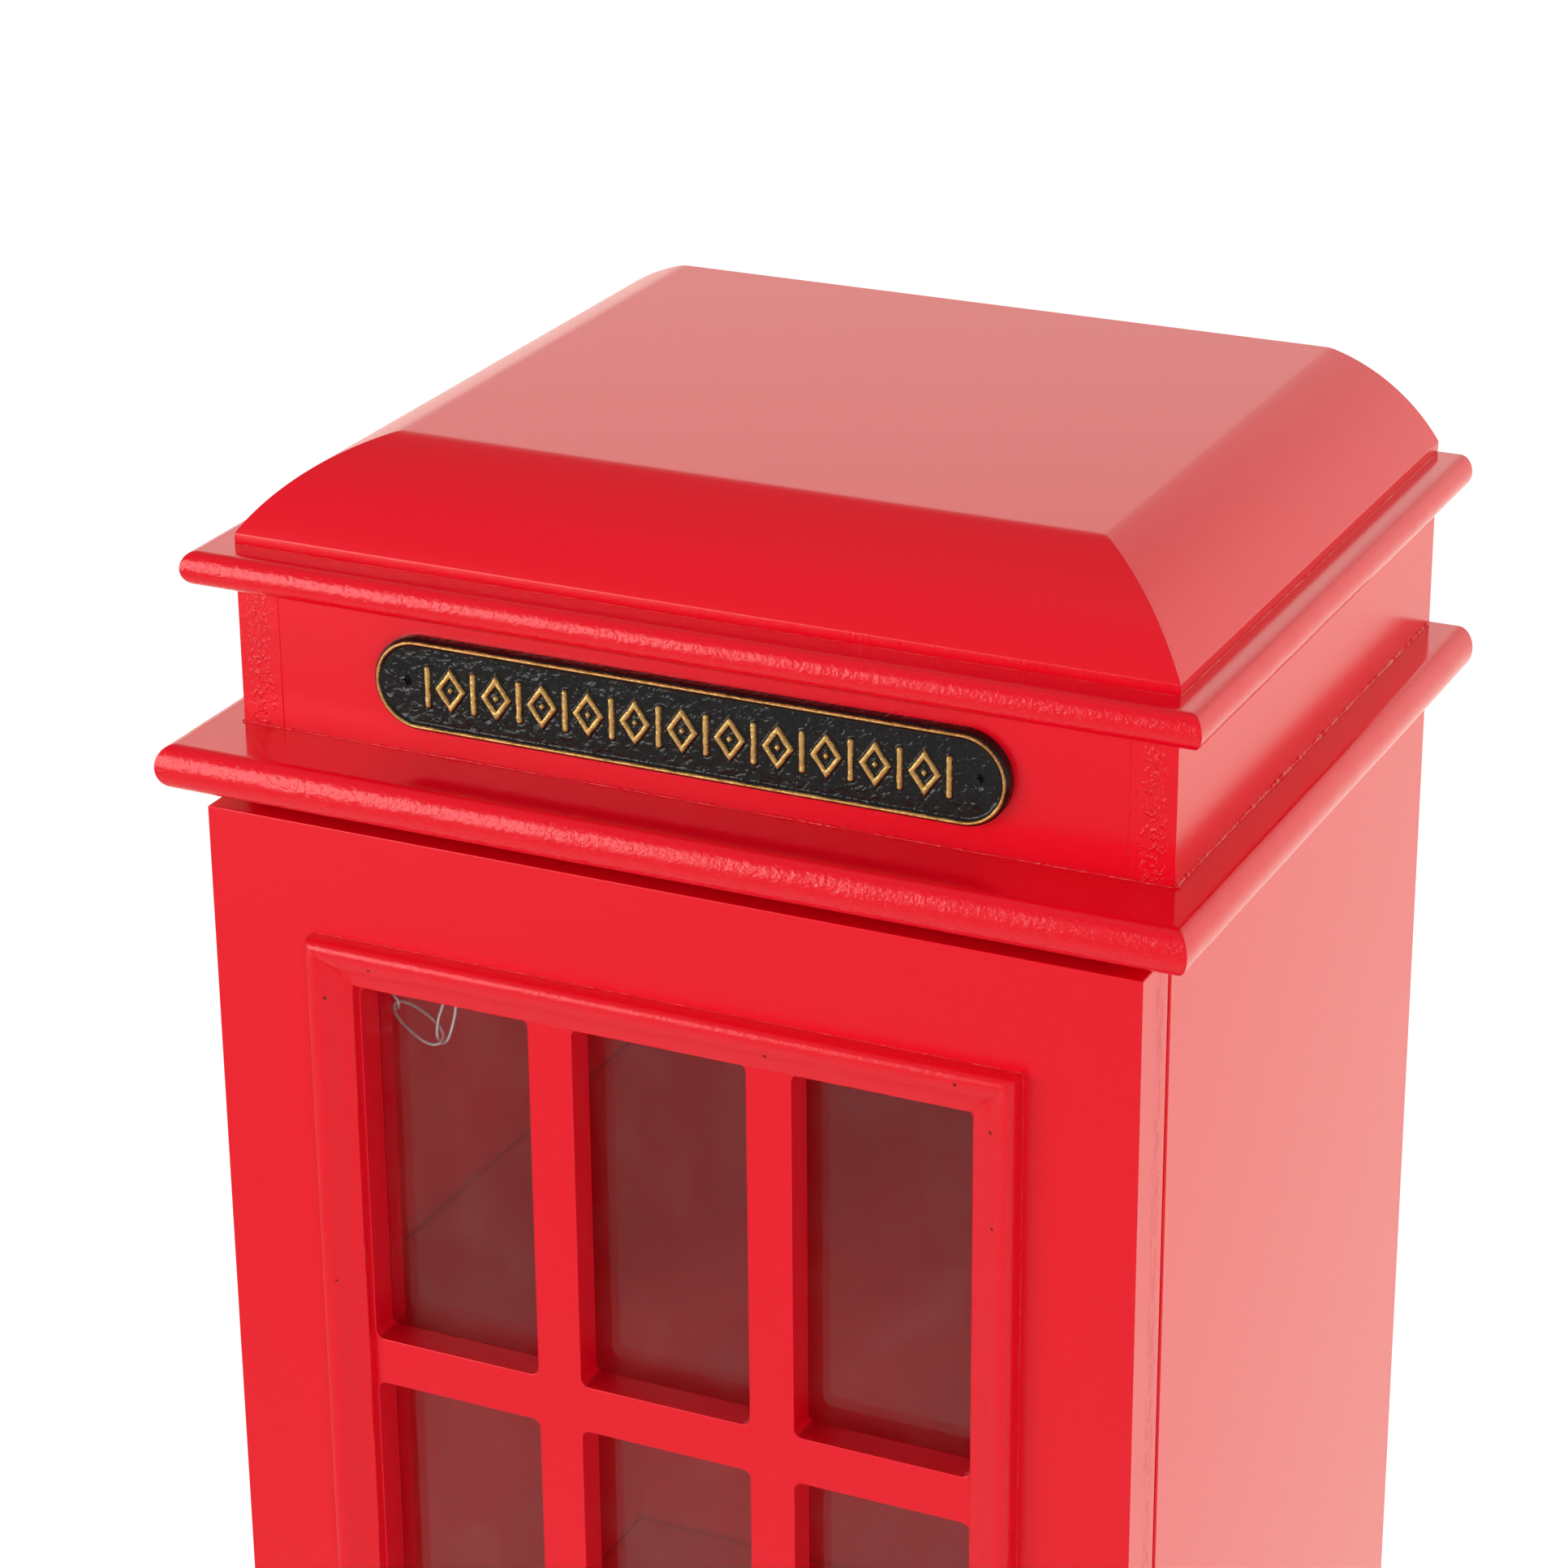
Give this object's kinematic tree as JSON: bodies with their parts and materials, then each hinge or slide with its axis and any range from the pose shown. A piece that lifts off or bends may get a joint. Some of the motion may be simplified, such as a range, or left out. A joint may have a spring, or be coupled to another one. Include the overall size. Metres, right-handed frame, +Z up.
{
  "type": "telephone kiosk display cabinet",
  "caption": "Tall glazed display cabinet shaped like a classic red telephone kiosk, with a hinged multi-pane door on a stay chain and shelves inside.",
  "frame": {"origin": "bottom centre of the overall box, on the floor", "axes": "+Z up, the glazed door faces -Y, +X to the right seen from the front"},
  "size_m": [0.373, 0.31, 1.3087],
  "materials": {
    "red_paint": "semi-gloss red lacquer over painted fibreboard",
    "hardboard": "raw brown hardboard",
    "bare_wood": "bare softwood",
    "clear_glass": "clear sheet glass",
    "plaque_metal": "black lacquer with gilt rubbed relief",
    "aged_brass": "aged brass",
    "zinc_steel": "zinc plated",
    "white_plastic": "moulded",
    "magnet": "ferrite magnet with steel pole plates",
    "bumper": "soft clear bumper",
    "glide_plastic": "moulded nylon"
  },
  "bodies": {
    "cabinet": {"side_panel_left": "red_paint", "side_panel_right": "red_paint", "back_panel": "hardboard", "back_rail": "red_paint", "back_rail_dowels": "bare_wood", "base_board": "red_paint", "lower_cornice": "red_paint", "frieze_front": "red_paint", "frieze_left": "red_paint", "frieze_right": "red_paint", "frieze_back": "red_paint", "upper_cornice": "red_paint", "roof_block": "red_paint", "plaque": "plaque_metal", "plaque_pins": "plaque_metal", "plinth_front": "red_paint", "plinth_back": "red_paint", "plinth_left": "red_paint", "plinth_right": "red_paint", "plinth_blocks": "bare_wood", "floor_glides": "glide_plastic", "shelf_1": "red_paint", "shelf_2": "red_paint", "shelf_3": "red_paint", "shelf_4": "red_paint", "shelf_pins": "zinc_steel", "cornice_screws": "zinc_steel", "base_screws": "zinc_steel", "roof_screws": "zinc_steel", "hinge_frame_leaves": "zinc_steel", "hinge_pins": "zinc_steel", "hinge_frame_screws": "zinc_steel", "catch_housing": "white_plastic", "catch_magnet": "magnet", "catch_screws": "zinc_steel", "door_bumpers": "bumper", "chain_frame_eye": "zinc_steel"},
    "door": {"door_grid_panel": "red_paint", "door_back_frame": "red_paint", "door_glass": "clear_glass", "glass_stop_left": "red_paint", "glass_stop_right": "red_paint", "glass_stop_top": "red_paint", "glass_stop_bottom": "red_paint", "glass_stop_pins": "zinc_steel", "bead_top": "red_paint", "bead_bottom": "red_paint", "bead_left": "red_paint", "bead_right": "red_paint", "door_knob": "aged_brass", "knob_rosette": "aged_brass", "knob_screw": "zinc_steel", "catch_strike_plate": "zinc_steel", "hinge_door_leaves": "zinc_steel", "hinge_door_screws": "zinc_steel", "chain_door_eye": "zinc_steel"},
    "chain_frame_run": {"chain_frame_links": "zinc_steel"},
    "chain_door_run": {"chain_door_links": "zinc_steel"}
  },
  "joints": [
    {"name": "door_hinge", "type": "hinge", "parent": "cabinet", "child": "door", "pos_m": [-0.1729, -0.1051, 0.63], "axis": [0, 0, -1], "range_deg": [0, 85]},
    {"name": "chain_frame_swing", "type": "hinge", "parent": "cabinet", "child": "chain_frame_run", "pos_m": [-0.14651, -0.0933, 1.12537], "axis": [-0.4612, -0.1607, -0.8726], "range_deg": [0, 97.52]},
    {"name": "chain_door_swing", "type": "hinge", "parent": "door", "child": "chain_door_run", "pos_m": [-0.08345, -0.10103, 1.15157], "axis": [0.2386, 0.9703, -0.0398], "range_deg": [0, 57.16]}
  ],
  "couplings": [
    {"joint": "chain_frame_swing", "follows": "door_hinge", "ratio": 1.1473},
    {"joint": "chain_door_swing", "follows": "door_hinge", "ratio": 0.67248}
  ]
}
